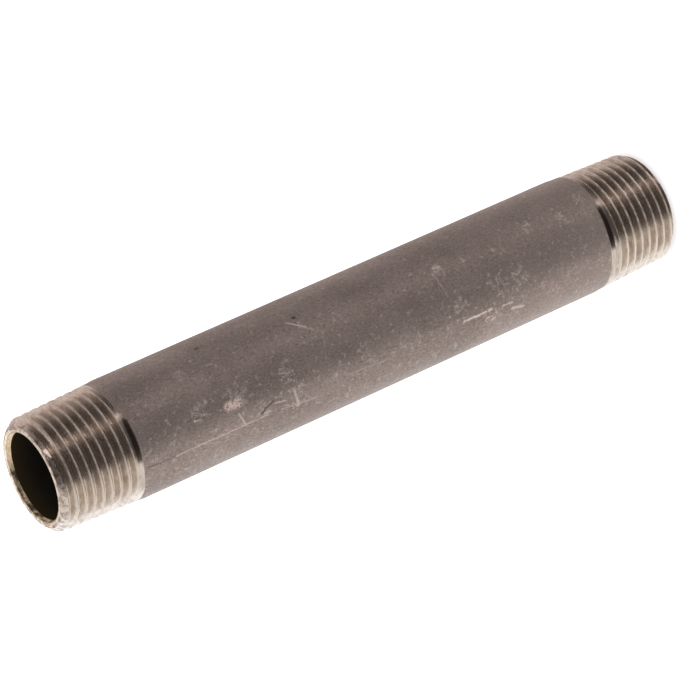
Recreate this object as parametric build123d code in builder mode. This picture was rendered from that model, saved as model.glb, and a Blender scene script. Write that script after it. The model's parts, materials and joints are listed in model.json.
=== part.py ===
"""Double nipple: a length of steel pipe with a right-hand taper pipe thread cut on each end."""

from build123d import *
from math import atan, cos, degrees, radians, tan
import os

# Pipe, in millimetres
length = 103.0
pipe_diameter = 17.2
wall_thickness = 2.3

# Taper pipe thread, the same on both ends, with angles in degrees
threads_per_inch = 19
taper = 1 / 16
flank_angle = 27.5
flat_share = 1 / 6
thread_length = 11.9
run_out_turns = 0.45
lower_thread_start = 118
upper_thread_start = 172

# Step up from the cone that the crests lie on to the plain pipe
collar_length = 0.4
collar_step = 0.1

# End faces
chamfer_below_root = 0.05
mouth_flare = 0.15
mouth_depth = 0.6

# Thread form worked out from the pitch: a sharp V with its tip and root cut to flats
pitch = 25.4 / threads_per_inch
flank_run = tan(radians(flank_angle))
thread_depth = (pitch / 2 - pitch * flat_share) / flank_run
root_half = pitch * flat_share / 2
cutter_rise = thread_depth / 6

pipe_radius = pipe_diameter / 2
bore_radius = pipe_radius - wall_thickness
slope = taper / 2


def crest_radius(height):
    """Radius of the cone that the crests lie on, at a height above the end face."""
    return pipe_radius - collar_step - slope * (thread_length - height)


def cutter_section(height):
    """Section of the thread groove, a little deeper than the metal on its open side."""
    root = crest_radius(height) - thread_depth
    mouth = crest_radius(height) + cutter_rise
    mouth_half = root_half + (mouth - root) * flank_run
    return [
        (root, height - root_half),
        (mouth, height - mouth_half),
        (mouth, height + mouth_half),
        (root, height + root_half),
    ]


# The groove runs in from below the end face, then lifts out of the metal before the collar
groove_start = -pitch
run_out_height = run_out_turns * pitch
groove_end = thread_length - pitch * (1 - flat_share) / 2 - run_out_height
groove_turns = (groove_end - groove_start) / pitch
taper_angle = degrees(atan(slope))
run_out_angle = degrees(atan((thread_depth + cutter_rise) / run_out_height))

with BuildPart() as groove:
    with BuildLine() as taper_path:
        Helix(
            pitch / cos(radians(taper_angle)),
            groove_end - groove_start,
            crest_radius(groove_start),
            center=(0, 0, groove_start),
            cone_angle=taper_angle,
        )
    with BuildSketch(Plane.XZ):
        with BuildLine():
            Polyline(cutter_section(groove_start), close=True)
        make_face()
    sweep(path=taper_path.line, is_frenet=True)

with BuildPart() as run_out:
    with BuildLine() as rising_path:
        Helix(
            pitch / cos(radians(run_out_angle)),
            run_out_height,
            crest_radius(groove_end),
            center=(0, 0, groove_end),
            cone_angle=run_out_angle,
        )
    with BuildSketch(Plane.XZ):
        with BuildLine():
            Polyline(cutter_section(groove_end), close=True)
        make_face()
    sweep(path=rising_path.line, is_frenet=True)

with BuildPart() as thread_cutter:
    add(groove.part)
    add(run_out.part, rotation=(0, 0, 360 * groove_turns))

# One half of the turned pipe's section, from the end face to the middle
face_radius = crest_radius(0) - thread_depth - chamfer_below_root
chamfer_height = (crest_radius(0) - face_radius) / (1 - slope)
half_section = [
    (bore_radius + mouth_flare, 0),
    (face_radius, 0),
    (crest_radius(chamfer_height), chamfer_height),
    (crest_radius(thread_length), thread_length),
    (pipe_radius, thread_length + collar_length),
    (pipe_radius, length / 2),
    (bore_radius, length / 2),
    (bore_radius, mouth_depth),
]

with BuildPart() as threaded_half:
    with BuildSketch(Plane.XZ):
        with BuildLine():
            Polyline(half_section, close=True)
        make_face()
    revolve(axis=Axis.Z)
    add(thread_cutter.part, mode=Mode.SUBTRACT)

with BuildPart() as nipple:
    lower_end = Location((0, 0, 0), (0, 0, lower_thread_start))
    upper_end = Location((0, 0, length), (180, 0, upper_thread_start))
    with Locations(lower_end, upper_end):
        add(threaded_half.part)

nipple.part.label = "nipple"

os.makedirs("parts", exist_ok=True)
export_step(nipple.part, "parts/nipple.step")
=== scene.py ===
import json
from math import cos, pi, radians, sin, tan

import bpy
import numpy as np
from mathutils import Matrix, Vector


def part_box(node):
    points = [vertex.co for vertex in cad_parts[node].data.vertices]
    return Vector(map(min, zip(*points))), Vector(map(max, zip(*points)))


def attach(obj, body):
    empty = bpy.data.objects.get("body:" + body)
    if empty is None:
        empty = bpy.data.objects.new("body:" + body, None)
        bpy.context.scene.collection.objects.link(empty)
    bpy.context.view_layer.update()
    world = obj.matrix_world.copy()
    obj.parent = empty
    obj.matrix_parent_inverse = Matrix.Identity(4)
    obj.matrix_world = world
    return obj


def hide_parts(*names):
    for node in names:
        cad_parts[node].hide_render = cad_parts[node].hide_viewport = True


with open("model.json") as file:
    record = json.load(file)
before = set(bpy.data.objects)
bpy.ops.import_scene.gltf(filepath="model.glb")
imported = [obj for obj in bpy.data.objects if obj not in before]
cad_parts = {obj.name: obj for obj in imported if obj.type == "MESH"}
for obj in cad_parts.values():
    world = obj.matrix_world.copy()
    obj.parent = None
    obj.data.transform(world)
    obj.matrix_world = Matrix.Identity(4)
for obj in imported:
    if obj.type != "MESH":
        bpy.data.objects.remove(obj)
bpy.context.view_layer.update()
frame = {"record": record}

MM = 0.001

# Sizes of the nipple in metres. The frame gives the overall ones.
low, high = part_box("nipple")
LENGTH = high[2] - low[2]
PIPE_RADIUS = (high[0] - low[0]) / 2
mounts = {mount["name"]: mount for mount in frame["record"]["mounts"]}
BORE_RADIUS = mounts["bore"]["dims"]["r_mm"] * MM
MOUTH_DEPTH = 0.6 * MM
MOUTH_FLARE = 0.15 * MM

# Taper pipe thread, with shares of the pitch as in its standard form
PITCH = 25.4 / 19 * MM
SLOPE = 1 / 32
FLANK_ANGLE = radians(27.5)
FLAT_SHARE = 1 / 6
CREST_ROUND = 0.07
ROOT_ROUND = 0.11
THREAD_DEPTH = PITCH * (0.5 - FLAT_SHARE) / tan(FLANK_ANGLE)
THREAD_LENGTH = 11.9 * MM
COLLAR_LENGTH = 0.4 * MM
COLLAR_STEP = 0.1 * MM
RUN_OUT = 0.45 * PITCH
CHAMFER = THREAD_DEPTH + 0.05 * MM

# Height of one crest above its own end face, on the side that faces the camera
LOWER_CREST = 2.57 * MM
UPPER_CREST = 1.70 * MM
CAMERA_SIDE = -pi / 2

# Mesh
TURN_STEPS = 192
BARREL_RINGS = 40
BORE_RINGS = 16
SNAP = 0.001 * MM
OUTSIDE, END_FACE, FLARE, BORE = range(4)


def add_camera():
    """A long lens at the photograph's angle, rolled so that the pipe lies across the frame."""
    elevation = radians(26.9)
    roll = radians(114.1)
    focal_length_px = 3792
    frame_px = 680
    level_right = Vector((1, 0, 0))
    level_up = Vector((0, sin(elevation), cos(elevation)))
    back = level_right.cross(level_up)
    right = level_right * cos(roll) - level_up * sin(roll)
    up = level_right * sin(roll) + level_up * cos(roll)
    data = bpy.data.cameras.new("camera")
    data.sensor_width = 36
    data.lens = focal_length_px / frame_px * data.sensor_width
    data.clip_start = 0.01
    data.clip_end = 20
    camera = bpy.data.objects.new("camera", data)
    camera.matrix_world = Matrix((right, up, back)).transposed().to_4x4()
    camera.location = Vector((0, -465.1, 289.2)) * MM
    bpy.context.scene.collection.objects.link(camera)
    bpy.context.scene.camera = camera


class Graph:
    """The nodes of one material or world, with a short call for each kind that is used here."""

    def __init__(self, tree):
        self.tree = tree

    def node(self, kind, **settings):
        node = self.tree.nodes.new("ShaderNode" + kind)
        for name, value in settings.items():
            setattr(node, name, value)
        return node

    def feed(self, socket, value):
        if isinstance(value, bpy.types.NodeSocket):
            self.tree.links.new(value, socket)
        else:
            socket.default_value = value

    def math(self, operation, *values, clamp=False):
        node = self.node("Math", operation=operation, use_clamp=clamp)
        for socket, value in zip(node.inputs, values):
            self.feed(socket, value)
        return node.outputs["Value"]

    def vector(self, operation, first, second=None, scale=None):
        node = self.node("VectorMath", operation=operation)
        self.feed(node.inputs[0], first)
        if second is not None:
            self.feed(node.inputs[1], second)
        if scale is not None:
            self.feed(node.inputs["Scale"], scale)
        return node.outputs["Value" if operation in ("DOT_PRODUCT", "LENGTH") else "Vector"]

    def fade(self, value, start, stop, low=0.0, high=1.0):
        """Goes smoothly from low to high as value goes from start to stop."""
        node = self.node("MapRange", interpolation_type="SMOOTHSTEP")
        names = ("Value", "From Min", "From Max", "To Min", "To Max")
        for name, item in zip(names, (value, start, stop, low, high)):
            self.feed(node.inputs[name], item)
        return node.outputs["Result"]

    def noise(self, vector, scale, detail=2.0):
        node = self.node("TexNoise")
        self.feed(node.inputs["Vector"], vector)
        node.inputs["Scale"].default_value = scale
        node.inputs["Detail"].default_value = detail
        return node.outputs["Fac"]

    def mix(self, share, first, second):
        """Mixes two colours, or two numbers."""
        is_colour = isinstance(second, tuple) or getattr(second, "type", "") == "RGBA"
        suffix = "Color" if is_colour else "Float"
        node = self.node("Mix", data_type="RGBA" if is_colour else "FLOAT")
        sockets = {socket.identifier: socket for socket in node.inputs}
        self.feed(sockets["Factor_Float"], share)
        self.feed(sockets["A_" + suffix], first)
        self.feed(sockets["B_" + suffix], second)
        return next(socket for socket in node.outputs if socket.identifier == "Result_" + suffix)

    def attribute(self, name):
        return self.node("Attribute", attribute_name=name).outputs["Fac"]

    def bump(self, height, distance, normal=None):
        node = self.node("Bump")
        node.inputs["Distance"].default_value = distance
        self.feed(node.inputs["Height"], height)
        if normal is not None:
            self.feed(node.inputs["Normal"], normal)
        return node.outputs["Normal"]


def rgb(red, green, blue):
    return (red, green, blue, 1.0)


def studio_direction(toward_camera, down_in_picture, along_pipe):
    return Vector((-down_in_picture, -toward_camera, along_pipe)).normalized()


def add_world():
    """White surroundings. In mirror reflections the camera's side is dark, with one bright strip."""
    world = bpy.data.worlds.new("studio")
    world.use_nodes = True
    bpy.context.scene.world = world
    world.node_tree.nodes.clear()
    graph = Graph(world.node_tree)
    view = graph.node("TexCoord").outputs["Generated"]

    # The table: every direction more than about 24 degrees round towards the picture's lower side
    table_angle = radians(24.4)
    table = graph.vector("DOT_PRODUCT", view, studio_direction(-sin(table_angle), cos(table_angle), 0))
    table = graph.fade(table, 0.31, 0.41, 0.0, 0.92)
    behind_angle = radians(60)
    behind = graph.vector("DOT_PRODUCT", view, studio_direction(-sin(behind_angle), cos(behind_angle), 0))
    behind = graph.fade(behind, 0.6, 1.0)
    table = graph.math("ADD", table, graph.math("MULTIPLY", behind, 0.42))
    wall = graph.vector("DOT_PRODUCT", view, studio_direction(-1, 0, 0))
    wall = graph.fade(wall, -0.3, 0.9, 0.0, 0.8)
    strip_angle = radians(-19)
    strip = graph.vector("DOT_PRODUCT", view, studio_direction(-sin(strip_angle), cos(strip_angle), 0))
    strip = graph.math("ABSOLUTE", graph.math("ADD", strip, 0.29))
    strip = graph.fade(strip, 0.03, 0.08, 1.55, 0.0)
    mirror_light = graph.math("MAXIMUM", graph.math("MAXIMUM", table, wall), strip)
    mirror_light = graph.math("MAXIMUM", mirror_light, 0.08)
    table_tint = graph.mix(behind, rgb(1, 0.97, 0.92), rgb(1, 1.03, 1.06))
    mirror_tint = graph.mix(graph.fade(table, 0.0, 0.9), rgb(1, 0.86, 0.81), table_tint)

    is_glossy = graph.node("LightPath").outputs["Is Glossy Ray"]
    background = graph.node("Background")
    graph.feed(background.inputs["Strength"], graph.mix(is_glossy, 1.0, mirror_light))
    graph.feed(background.inputs["Color"], graph.mix(is_glossy, rgb(1, 1, 1), mirror_tint))
    output = graph.node("OutputWorld")
    graph.feed(output.inputs["Surface"], background.outputs["Background"])


def add_floor():
    """A plain floor, white to the camera apart from the nipple's shadow."""
    half = 2.0
    corners = [(-half, -half, 0), (half, -half, 0), (half, half, 0), (-half, half, 0)]
    mesh = bpy.data.meshes.new("floor")
    mesh.from_pydata(corners, [], [(0, 1, 2, 3)])
    floor = bpy.data.objects.new("floor", mesh)
    bpy.context.scene.collection.objects.link(floor)
    material = bpy.data.materials.new("white_floor")
    material.use_nodes = True
    material.node_tree.nodes.clear()
    graph = Graph(material.node_tree)
    paint = graph.node("BsdfDiffuse")
    paint.inputs["Color"].default_value = rgb(0.85, 0.85, 0.85)
    glow = graph.node("Emission")
    to_camera = graph.node("LightPath").outputs["Is Camera Ray"]
    graph.feed(glow.inputs["Strength"], graph.math("MULTIPLY", to_camera, 0.5))
    both = graph.node("AddShader")
    graph.feed(both.inputs[0], paint.outputs["BSDF"])
    graph.feed(both.inputs[1], glow.outputs["Emission"])
    graph.feed(graph.node("OutputMaterial").inputs["Surface"], both.outputs["Shader"])
    mesh.materials.append(material)
    floor.visible_glossy = False


def crest_radius(height):
    """Radius of the cone that the crests lie on, at a height above the end face."""
    return PIPE_RADIUS - COLLAR_STEP - SLOPE * (THREAD_LENGTH - height)


def chamfer_radius(height):
    return crest_radius(0) - CHAMFER + height


def blank_radius(height):
    """Radius of the turned blank before the thread is cut."""
    step = (height - THREAD_LENGTH) * COLLAR_STEP / COLLAR_LENGTH
    collar = np.minimum(crest_radius(THREAD_LENGTH) + step, PIPE_RADIUS)
    outside = np.where(height > THREAD_LENGTH, collar, crest_radius(height))
    return np.minimum(outside, chamfer_radius(height))


def rounded_corner(distance, radius_share):
    """Drop of a rounded corner between a flat and a flank, at a distance from the flat's middle."""
    tangent = radius_share * tan((pi / 2 - FLANK_ANGLE) / 2)
    start = FLAT_SHARE / 2 - tangent
    reach = start + radius_share * cos(FLANK_ANGLE)
    arc = radius_share - np.sqrt(np.maximum(radius_share ** 2 - np.maximum(distance - start, 0) ** 2, 0))
    flank = (distance - FLAT_SHARE / 2) / tan(FLANK_ANGLE)
    return np.where(distance < start, 0, np.where(distance < reach, arc, flank))


def groove_drop(phase):
    """How far the thread lies below its crest. Phase runs from 0 at a crest to 1 at the next."""
    from_crest = np.abs((phase + 0.5) % 1 - 0.5)
    depth = THREAD_DEPTH / PITCH
    below_crest = rounded_corner(from_crest, CREST_ROUND)
    above_root = rounded_corner(0.5 - from_crest, ROOT_ROUND)
    return PITCH * np.where(from_crest < 0.25, below_crest, depth - above_root)


def profile_phases():
    """Rows of points across one pitch, closest together round the crest and the root."""
    crest = [-0.12, -0.095, -0.065, -0.03, 0.03, 0.065, 0.095, 0.12]
    flank = [0.18, 0.25, 0.32]
    root = [0.38, 0.41, 0.45, 0.5, 0.55, 0.59, 0.62]
    return np.array(sorted(share % 1 for share in crest + flank + root + [1 - share for share in flank]))


def thread_surface(angle, height, crest_at):
    """Radius at an angle and a height above the end face, how near the crest, and if on the chamfer."""
    turn = ((angle - CAMERA_SIDE) / (2 * pi)) % 1
    phase = (height - crest_at) / PITCH - turn
    groove_height = crest_at + (np.floor(phase) + 0.5 + turn) * PITCH
    groove_end = THREAD_LENGTH - PITCH * (1 - FLAT_SHARE) / 2 - RUN_OUT
    lift = np.maximum(groove_height - groove_end, 0) / RUN_OUT * THREAD_DEPTH * 7 / 6
    drop = np.maximum(groove_drop(phase) - lift, 0)
    cut = crest_radius(height) - drop
    blank = blank_radius(height)
    still_cut = np.clip(1 - lift / THREAD_DEPTH, 0, 1)
    on_crest = np.clip(1 - groove_drop(phase) / (0.06 * PITCH), 0, 1) * still_cut
    on_chamfer = (blank < cut) & (height < THREAD_LENGTH / 2)
    return np.minimum(cut, blank), on_crest * (blank >= cut), on_chamfer


class MeshDraft:
    """Points, faces, and each point's crest and chamfer shares, gathered before the mesh is made."""

    def __init__(self):
        self.points = []
        self.crest = []
        self.chamfer = []
        self.faces = []
        self.face_materials = []

    def add_point(self, point, crest=0.0, chamfer=0.0):
        self.points.append(point)
        self.crest.append(crest)
        self.chamfer.append(chamfer)
        return len(self.points) - 1

    def add_face(self, corners, material):
        distinct = list(dict.fromkeys(corners))
        if len(distinct) > 2:
            self.faces.append(distinct)
            self.face_materials.append(material)

    def ring(self, radius, height):
        angles = CAMERA_SIDE + np.arange(TURN_STEPS) / TURN_STEPS * 2 * pi
        return [self.add_point((radius * cos(a), radius * sin(a), height)) for a in angles]

    def join(self, first, second, material):
        for i in range(TURN_STEPS):
            j = (i + 1) % TURN_STEPS
            self.add_face((first[i], first[j], second[j], second[i]), material)

    def threaded_end(self, crest_at, upper):
        """Adds the outside of one end. Gives its edge at the end face and its edge on the pipe."""
        top = THREAD_LENGTH + COLLAR_LENGTH + 0.3 * MM
        phases = profile_phases()
        first_turn = int(np.floor(-crest_at / PITCH)) - 1
        last_turn = int(np.ceil((top - crest_at) / PITCH))
        rows = np.concatenate([crest_at + (turn + phases) * PITCH for turn in range(first_turn, last_turn + 1)])
        share = np.arange(TURN_STEPS) / TURN_STEPS
        angle = CAMERA_SIDE + share * 2 * pi
        height = rows[:, None] + share[None, :] * PITCH
        height = np.where(height < SNAP, 0, np.where(height > top - SNAP, top, height))
        radius, crest, chamfer = thread_surface(angle[None, :], height, crest_at)
        x = radius * np.cos(angle) * (-1 if upper else 1)
        y = radius * np.sin(angle)
        z = LENGTH - height if upper else height

        def point(j, i):
            return self.add_point((x[j, i], y[j, i], z[j, i]), crest[j, i], chamfer[j, i])

        at_face = [point(0, i) for i in range(TURN_STEPS)]
        at_pipe = [point(len(rows) - 1, i) for i in range(TURN_STEPS)]
        grid = [
            [
                at_face[i] if height[j, i] <= 0 else at_pipe[i] if height[j, i] >= top else point(j, i)
                for i in range(TURN_STEPS)
            ]
            for j in range(len(rows))
        ]
        row_above = [grid[min(j + len(phases), len(rows) - 1)] for j in range(len(rows))]
        for j in range(len(rows) - 1):
            for i in range(TURN_STEPS - 1):
                self.add_face((grid[j][i], grid[j][i + 1], grid[j + 1][i + 1], grid[j + 1][i]), OUTSIDE)
            last = TURN_STEPS - 1
            self.add_face((grid[j][last], row_above[j][0], row_above[j + 1][0], grid[j + 1][last]), OUTSIDE)
        if upper:
            return at_face[:1] + at_face[:0:-1], at_pipe[:1] + at_pipe[:0:-1]
        return at_face, at_pipe


def sharpen_material_edges(mesh):
    """Makes the edges between the outside, the end faces, the flares and the bore sharp."""
    beside = [set() for edge in mesh.edges]
    for polygon in mesh.polygons:
        for loop in polygon.loop_indices:
            beside[mesh.loops[loop].edge_index].add(polygon.material_index)
    for edge, materials in zip(mesh.edges, beside):
        if len(materials) > 1:
            edge.use_edge_sharp = True


def build_nipple():
    draft = MeshDraft()
    lower_face, lower_pipe = draft.threaded_end(LOWER_CREST, upper=False)
    upper_face, upper_pipe = draft.threaded_end(UPPER_CREST, upper=True)
    barrel_start = THREAD_LENGTH + COLLAR_LENGTH + MM
    barrel = [
        draft.ring(PIPE_RADIUS, height)
        for height in np.linspace(barrel_start, LENGTH - barrel_start, BARREL_RINGS)
    ]
    outside = [lower_pipe, *barrel, upper_pipe]
    for first, second in zip(outside, outside[1:]):
        draft.join(first, second, OUTSIDE)
    upper_mouth = draft.ring(BORE_RADIUS + MOUTH_FLARE, LENGTH)
    bore = [
        draft.ring(BORE_RADIUS, height) for height in np.linspace(LENGTH - MOUTH_DEPTH, MOUTH_DEPTH, BORE_RINGS)
    ]
    lower_mouth = draft.ring(BORE_RADIUS + MOUTH_FLARE, 0)
    draft.join(upper_face, upper_mouth, END_FACE)
    draft.join(upper_mouth, bore[0], FLARE)
    for first, second in zip(bore, bore[1:]):
        draft.join(first, second, BORE)
    draft.join(bore[-1], lower_mouth, FLARE)
    draft.join(lower_mouth, lower_face, END_FACE)

    mesh = bpy.data.meshes.new("nipple_pipe")
    mesh.from_pydata(draft.points, [], draft.faces)
    mesh.attributes.new("crest", "FLOAT", "POINT").data.foreach_set("value", draft.crest)
    mesh.attributes.new("chamfer", "FLOAT", "POINT").data.foreach_set("value", draft.chamfer)
    for material in (steel_outside(), end_face(), mouth_flare(), bore_wall()):
        mesh.materials.append(material)
    mesh.polygons.foreach_set("material_index", draft.face_materials)
    mesh.polygons.foreach_set("use_smooth", [True] * len(mesh.polygons))
    mesh.set_sharp_from_angle(angle=radians(38))
    sharpen_material_edges(mesh)
    nipple = bpy.data.objects.new("nipple_pipe", mesh)
    bpy.context.scene.collection.objects.link(nipple)
    return nipple


def principled(name):
    material = bpy.data.materials.new(name)
    material.use_nodes = True
    return material, Graph(material.node_tree), material.node_tree.nodes["Principled BSDF"]


# Marks on the pipe wall: millimetres from the upper end, then degrees round from the side that
# faces the camera, positive towards the lower edge of the picture
HAIR_PATCHES = [  # middle, and radius in millimetres
    (22.0, 6, 2.6),
    (22.0, -30, 1.6),
    (28.0, 8, 3.0),
    (31.5, 34, 2.0),
    (36.0, 8, 2.4),
    (37.0, 32, 2.6),
    (49.0, 20, 2.2),
    (63.8, -24, 2.0),
    (64.5, 16, 2.4),
    (69.5, 40, 2.6),
    (71.5, 12, 2.6),
    (75.0, 14, 2.4),
    (79.5, -28, 1.6),
    (85.0, -22, 2.4),
    (89.5, -33, 2.2),
]
SCRATCHES = [  # start, end, width in millimetres, strength
    (17.0, 37, 32.0, 37, 0.15, 0.55),
    (20.9, 13, 21.7, 14, 0.20, 0.7),
    (22.2, 12, 23.0, 12, 0.18, 0.6),
    (21.5, 4, 22.1, 4, 0.18, 0.5),
    (26.2, -29, 27.0, -28, 0.16, 0.4),
    (27.5, 24, 28.3, 38, 0.24, 0.6),
    (31.4, 34, 32.1, 34, 0.20, 0.6),
    (33.3, 29, 34.8, 31, 0.18, 0.6),
    (34.0, 38, 40.0, 42, 0.14, 0.4),
    (35.0, 5, 36.5, 8, 0.18, 0.5),
    (36.4, 24, 36.8, 42, 0.28, 0.6),
    (39.8, -36, 41.9, -24, 0.20, 0.6),
    (41.0, -27, 42.8, -18, 0.16, 0.3),
    (44.9, 33, 52.0, 36, 0.12, 0.3),
    (63.3, -26, 64.4, -25, 0.24, 0.6),
    (62.8, -22, 63.3, 4, 0.16, 0.3),
    (63.8, 15, 64.3, 16, 0.22, 0.6),
    (64.7, 33, 68.6, 33, 0.20, 1.0),
    (69.1, 33, 69.5, 33, 0.32, 0.9),
    (68.6, 40, 69.0, 40, 0.28, 0.7),
    (69.5, 44, 70.0, 44, 0.28, 0.7),
    (71.5, 35, 73.0, 35, 0.20, 0.7),
    (73.0, 42, 75.0, 45, 0.28, 0.7),
    (74.0, 8, 74.8, 12, 0.20, 0.5),
    (75.4, 16, 76.0, 20, 0.20, 0.5),
    (79.5, -28, 80.0, -28, 0.30, 0.5),
    (88.5, -27, 90.0, -34, 0.20, 0.4),
]
# A dent, drawn as its painted bright pink highlight
BRUISE_HIGHLIGHT = [(26.3, 14, 27.8, 14, 1.0, 1.0)]
DARK_MARKS = [
    (12.6, 36, 17.0, 37, 0.14, 0.4),
    (30.9, 33, 33.1, 26, 0.16, 0.8),
    (26.7, -52, 27.1, -52, 0.30, 0.6),
    (41.15, -38, 41.4, -38, 0.30, 0.8),
]
CHAMFER_GLINT = [(0.3, -20, 0.6, -11, 0.26, 1.0)]


def wall_place(from_top, degrees_round):
    """A place on the unrolled pipe wall, in millimetres."""
    return Vector((from_top, radians(degrees_round) * PIPE_RADIUS / MM, 0))


def stroke(graph, place, mark):
    """Share of a mark that is a short stroke on the unrolled wall."""
    *ends, width, strength = mark
    start = wall_place(*ends[:2])
    run = wall_place(*ends[2:]) - start
    offset = graph.vector("SUBTRACT", place, start)
    along = graph.vector("DOT_PRODUCT", offset, run / run.length_squared)
    along = graph.math("ADD", along, 0.0, clamp=True)
    nearest = graph.vector("SCALE", run, scale=along)
    distance = graph.vector("LENGTH", graph.vector("SUBTRACT", offset, nearest))
    return graph.fade(distance, 0.3 * width, width, strength, 0.0)


def strokes(graph, place, marks):
    share = 0.0
    for mark in marks:
        share = graph.math("MAXIMUM", stroke(graph, place, mark), share)
    return share


def pipe_coordinates(graph, place):
    """Millimetres from the upper end, millimetres from the nearer end, and degrees round."""
    split = graph.node("SeparateXYZ")
    graph.feed(split.inputs[0], place)
    x, y, z = split.outputs
    from_top = graph.math("DIVIDE", graph.math("SUBTRACT", LENGTH, z), MM)
    from_end = graph.math("MINIMUM", from_top, graph.math("DIVIDE", z, MM))
    angle = graph.math("ARCTAN2", graph.math("MULTIPLY", x, -1.0), graph.math("MULTIPLY", y, -1.0))
    return from_top, from_end, graph.math("MULTIPLY", angle, 180 / pi)


def unrolled(graph, place, from_top, degrees_round):
    """A point on the unrolled pipe wall in millimetres, shaken a little so that marks aren't straight."""
    point = graph.node("CombineXYZ")
    graph.feed(point.inputs["X"], from_top)
    graph.feed(point.inputs["Y"], graph.math("MULTIPLY", degrees_round, radians(1) * PIPE_RADIUS / MM))
    shake = graph.math("SUBTRACT", graph.noise(place, 1500, 2.0), 0.5)
    return graph.vector("ADD", point.outputs["Vector"], graph.vector("SCALE", (0.2, 0.5, 0), scale=shake))


def hairs(graph, place, point, degrees_round):
    """Share of fine curled scratches, thick in the patches and thin over the side they lie on."""
    curl_place = graph.vector("MULTIPLY", place, (0.8, 0.8, 1.2))
    curl = graph.math("ABSOLUTE", graph.math("SUBTRACT", graph.noise(curl_place, 2700, 2.0), 0.5))
    curl = graph.fade(curl, 0.02, 0.09, 1.0, 0.0)
    patches = 0.0
    for from_top, degrees, radius in HAIR_PATCHES:
        offset = graph.vector("SUBTRACT", point, wall_place(from_top, degrees))
        near = graph.fade(graph.vector("LENGTH", offset), 0.0, radius, 0.18, 0.0)
        patches = graph.math("MAXIMUM", near, patches)
    side = graph.math("MULTIPLY", graph.fade(degrees_round, -40, 10), graph.fade(degrees_round, 70, 50))
    reach = graph.math("ADD", graph.math("MULTIPLY", side, 0.05), patches)
    pieces = graph.fade(graph.math("ADD", graph.noise(place, 1300, 2.0), reach), 0.60, 0.74)
    return graph.math("MULTIPLY", curl, pieces)


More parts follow.
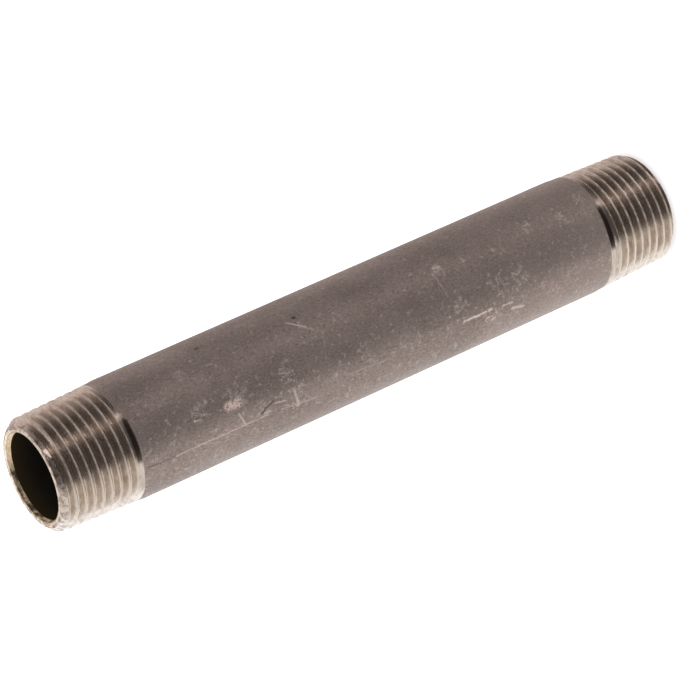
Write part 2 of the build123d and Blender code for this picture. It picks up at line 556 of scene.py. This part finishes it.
def steel_outside():
    """Pickled pipe wall, and the bright metal where the thread, collar and chamfer are cut."""
    material, graph, shader = principled("steel_outside")
    place = graph.node("TexCoord").outputs["Object"]
    from_top, from_end, degrees_round = pipe_coordinates(graph, place)
    point = unrolled(graph, place, from_top, degrees_round)

    # Pipe wall: a brown grey skin, faintly mottled, with a fine grain
    mottle = graph.noise(graph.vector("MULTIPLY", place, (1, 1, 0.6)), 200, 4.0)
    grain = graph.noise(graph.vector("MULTIPLY", place, (1, 1, 0.6)), 4200, 2.0)
    skin = graph.mix(graph.fade(mottle, 0.35, 0.65), rgb(0.315, 0.252, 0.229), rgb(0.375, 0.303, 0.277))
    skin = graph.mix(graph.fade(grain, 0.48, 0.28, 0.0, 0.55), skin, rgb(0.19, 0.145, 0.130))
    skin = graph.mix(graph.fade(grain, 0.52, 0.72, 0.0, 0.45), skin, rgb(0.52, 0.43, 0.40))
    skin = graph.mix(graph.fade(from_top, 60, 90, 0.0, 0.2), skin, rgb(0.60, 0.50, 0.46))

    # Marks on the pipe wall, and one dent drawn as a painted bright pink highlight
    rubbed = graph.noise(place, 4000, 2.0)
    light_marks = graph.math("MULTIPLY", hairs(graph, place, point, degrees_round), 0.5)
    light_marks = graph.math("MAXIMUM", light_marks, strokes(graph, point, SCRATCHES))
    light_marks = graph.math("MULTIPLY", light_marks, graph.fade(rubbed, 0.3, 0.6, 0.6, 1.0))
    bruise_highlight = graph.math("MULTIPLY", strokes(graph, point, BRUISE_HIGHLIGHT), graph.fade(rubbed, 0.38, 0.50))
    skin = graph.mix(light_marks, skin, rgb(0.82, 0.69, 0.64))
    skin = graph.mix(bruise_highlight, skin, rgb(0.98, 0.76, 0.70))
    skin = graph.mix(strokes(graph, point, DARK_MARKS), skin, rgb(0.04, 0.035, 0.032))

    # Cut metal: bright, with fine rings from the die and a thin film of oil
    rings = graph.noise(graph.vector("MULTIPLY", place, (0.12, 0.12, 1)), 9000, 2.0)
    oil = graph.noise(graph.vector("MULTIPLY", place, (1, 1, 2.5)), 450, 3.0)
    cut = graph.mix(graph.fade(rings, 0.3, 0.7), rgb(0.62, 0.54, 0.48), rgb(0.75, 0.68, 0.61))
    cut = graph.mix(graph.fade(oil, 0.48, 0.66, 0.0, 0.35), cut, rgb(0.36, 0.27, 0.235))

    # Crests are worn and torn, so they look rougher than the flanks. Their colour is painted whiter at the lower end,
    # as a painted sheen.
    worn = graph.noise(place, 1100, 2.0)
    crest = graph.math("MULTIPLY", graph.attribute("crest"), graph.fade(worn, 0.35, 0.60, 0.5, 1.0))
    crest_tone_and_sheen = graph.mix(graph.fade(from_top, 40, 60), rgb(0.74, 0.63, 0.56), rgb(0.95, 0.84, 0.76))
    cut = graph.mix(crest, cut, crest_tone_and_sheen)

    # The chamfer is torn, with dark pits, and has one painted highlight, a bright streak
    chamfer = graph.attribute("chamfer")
    tears = graph.noise(place, 1500, 2.0)
    pits = graph.math("MULTIPLY", graph.fade(tears, 0.46, 0.60, 0.0, 0.6), chamfer)
    cut = graph.mix(pits, cut, rgb(0.22, 0.15, 0.13))
    glint = graph.math("MULTIPLY", strokes(graph, point, CHAMFER_GLINT), chamfer)
    cut = graph.mix(glint, cut, rgb(0.92, 0.74, 0.66))

    # The cut starts higher on the side where the pipe stands off the die
    deep_side = graph.fade(degrees_round, -24, -12)
    deep_side = graph.math("MULTIPLY", deep_side, graph.fade(degrees_round, 120, 160, 1.0, 0.0))
    cut_edge = graph.math("ADD", graph.math("MULTIPLY", deep_side, 0.7), 11.5)
    edge_wobble = graph.math("MULTIPLY", graph.math("SUBTRACT", mottle, 0.5), 0.5)
    past_edge = graph.math("ADD", graph.math("SUBTRACT", from_end, cut_edge), edge_wobble)
    is_cut = graph.fade(past_edge, -0.05, 0.08, 1.0, 0.0)

    # Painted shade in the collar: a near-black crescent on the side whose mirror reflection is dark, widest towards
    # the picture's lower edge
    off_middle = graph.math("ABSOLUTE", graph.math("ADD", graph.math("SUBTRACT", from_end, 11.75), edge_wobble))
    crescent = graph.math("DIVIDE", off_middle, graph.fade(degrees_round, -20, 20, 0.34, 0.44))
    collar_shade = graph.fade(crescent, 0.5, 1.3, 1.0, 0.0)
    collar_shade = graph.math("MULTIPLY", collar_shade, graph.fade(degrees_round, -20, -12))
    collar_shade = graph.math("MULTIPLY", collar_shade, graph.fade(degrees_round, 31, 25))

    colour = graph.mix(is_cut, skin, cut)
    colour = graph.mix(graph.math("MULTIPLY", collar_shade, 0.85), colour, rgb(0.05, 0.035, 0.033))
    graph.feed(shader.inputs["Base Color"], colour)

    skin_metal = graph.mix(light_marks, 0.66, 0.4)
    cut_metal = graph.mix(glint, graph.mix(crest, 1.0, 0.68), 0.4)
    graph.feed(shader.inputs["Metallic"], graph.mix(is_cut, skin_metal, cut_metal))

    skin_rough = graph.fade(grain, 0.3, 0.7, 0.58, 0.46)
    cut_rough = graph.mix(crest, graph.fade(oil, 0.4, 0.7, 0.24, 0.36), 0.45)
    graph.feed(shader.inputs["Roughness"], graph.mix(is_cut, skin_rough, cut_rough))

    relief = graph.mix(is_cut, grain, graph.math("MULTIPLY", rings, 0.25))
    relief = graph.math("ADD", relief, graph.math("MULTIPLY", graph.math("MULTIPLY", tears, chamfer), 2.0))
    graph.feed(shader.inputs["Normal"], graph.bump(relief, 0.02 * MM))
    return material


def burnt_side(graph, place, start, full):
    """Share of the burnt dirt in the mouths, from its start to where it is full, in millimetres."""
    toward = graph.vector("DOT_PRODUCT", place, (-0.5, 0.866, 0))
    patches = graph.fade(graph.noise(place, 900, 3.0), 0.42, 0.58, 1.0, 0.2)
    return graph.math("MULTIPLY", graph.fade(toward, start * MM, full * MM, 0.0, 0.9), patches)


def end_face():
    """The sawn ring at each end, between a dark lip and a torn outer rim that is wider nearby."""
    material, graph, shader = principled("end_face")
    place = graph.node("TexCoord").outputs["Object"]
    split = graph.node("SeparateXYZ")
    graph.feed(split.inputs[0], place)
    radius = graph.vector("LENGTH", graph.vector("MULTIPLY", place, (1, 1, 0)))
    far = graph.fade(split.outputs["Y"], -1.0 * MM, 2.0 * MM)
    scuffs = graph.noise(place, 1500, 3.0)
    lip = graph.fade(radius, 6.64 * MM, 6.50 * MM, 0.0, 0.7)
    inner = graph.fade(radius, 6.95 * MM, 6.80 * MM)
    dirt = graph.math("MULTIPLY", burnt_side(graph, place, 3.6, 5.0), inner)
    rim_start = graph.mix(far, 6.72 * MM, 7.00 * MM)
    rim = graph.fade(graph.math("SUBTRACT", radius, rim_start), 0.0, 0.12 * MM, 0.0, 0.9)
    rim_colour = graph.mix(graph.fade(scuffs, 0.40, 0.60), rgb(0.45, 0.37, 0.32), rgb(0.24, 0.17, 0.14))
    colour = graph.mix(graph.fade(scuffs, 0.42, 0.66), rgb(0.80, 0.70, 0.58), rgb(0.56, 0.46, 0.35))
    colour = graph.mix(graph.math("SUBTRACT", 0.35, graph.math("MULTIPLY", far, 0.35)), colour, rgb(0.40, 0.34, 0.31))
    colour = graph.mix(graph.math("MAXIMUM", dirt, lip), colour, rgb(0.20, 0.14, 0.07))
    colour = graph.mix(rim, colour, rim_colour)
    graph.feed(shader.inputs["Base Color"], colour)
    shader.inputs["Metallic"].default_value = 1.0
    graph.feed(shader.inputs["Roughness"], graph.fade(scuffs, 0.3, 0.7, 0.25, 0.42))
    graph.feed(shader.inputs["Normal"], graph.bump(scuffs, 0.02 * MM))
    return material


def mouth_flare():
    """The reamed edge of the bore. Its shading normal is bent outward, as if rounded over, so that it catches light
    from outside.
    """
    material, graph, shader = principled("mouth_flare")
    place = graph.node("TexCoord").outputs["Object"]
    split = graph.node("SeparateXYZ")
    graph.feed(split.inputs[0], place)
    outward = graph.node("CombineXYZ")
    graph.feed(outward.inputs["Z"], graph.math("SIGN", graph.math("SUBTRACT", split.outputs["Z"], LENGTH / 2)))
    ream = graph.noise(graph.vector("MULTIPLY", place, (0.3, 0.3, 1)), 6000, 2.0)
    colour = graph.mix(graph.fade(ream, 0.35, 0.65), rgb(0.60, 0.45, 0.28), rgb(0.86, 0.69, 0.48))
    burnt = burnt_side(graph, place, 2.6, 4.0)
    graph.feed(shader.inputs["Base Color"], graph.mix(burnt, colour, rgb(0.05, 0.03, 0.012)))
    shader.inputs["Metallic"].default_value = 0.6
    shader.inputs["Roughness"].default_value = 0.3
    normal = graph.node("NewGeometry").outputs["Normal"]
    rounded = graph.vector("ADD", normal, graph.vector("SCALE", outward.outputs["Vector"], scale=0.6))
    graph.feed(shader.inputs["Normal"], graph.vector("NORMALIZE", rounded))
    return material


def bore_wall():
    """Dark scale inside the pipe, rusty just inside each mouth. Its near-black colour is partly painted shade of the
    deep bore.
    """
    material, graph, shader = principled("bore_wall")
    place = graph.node("TexCoord").outputs["Object"]
    from_end = pipe_coordinates(graph, place)[1]
    scale = graph.noise(place, 500, 4.0)
    scale_with_painted_shade = graph.mix(scale, rgb(0.010, 0.008, 0.006), rgb(0.022, 0.018, 0.014))
    graph.feed(shader.inputs["Base Color"], graph.mix(graph.fade(from_end, 0.6, 4.0, 1.0, 0.0), scale_with_painted_shade, rgb(0.030, 0.020, 0.008)))
    shader.inputs["Roughness"].default_value = 0.7
    shader.inputs["Specular IOR Level"].default_value = 0.1
    graph.feed(shader.inputs["Normal"], graph.bump(scale, 0.05 * MM))
    return material


add_camera()
bpy.context.scene.view_settings.view_transform = "Standard"
add_world()
add_floor()
nipple = build_nipple()
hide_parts("nipple")
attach(nipple, "root")
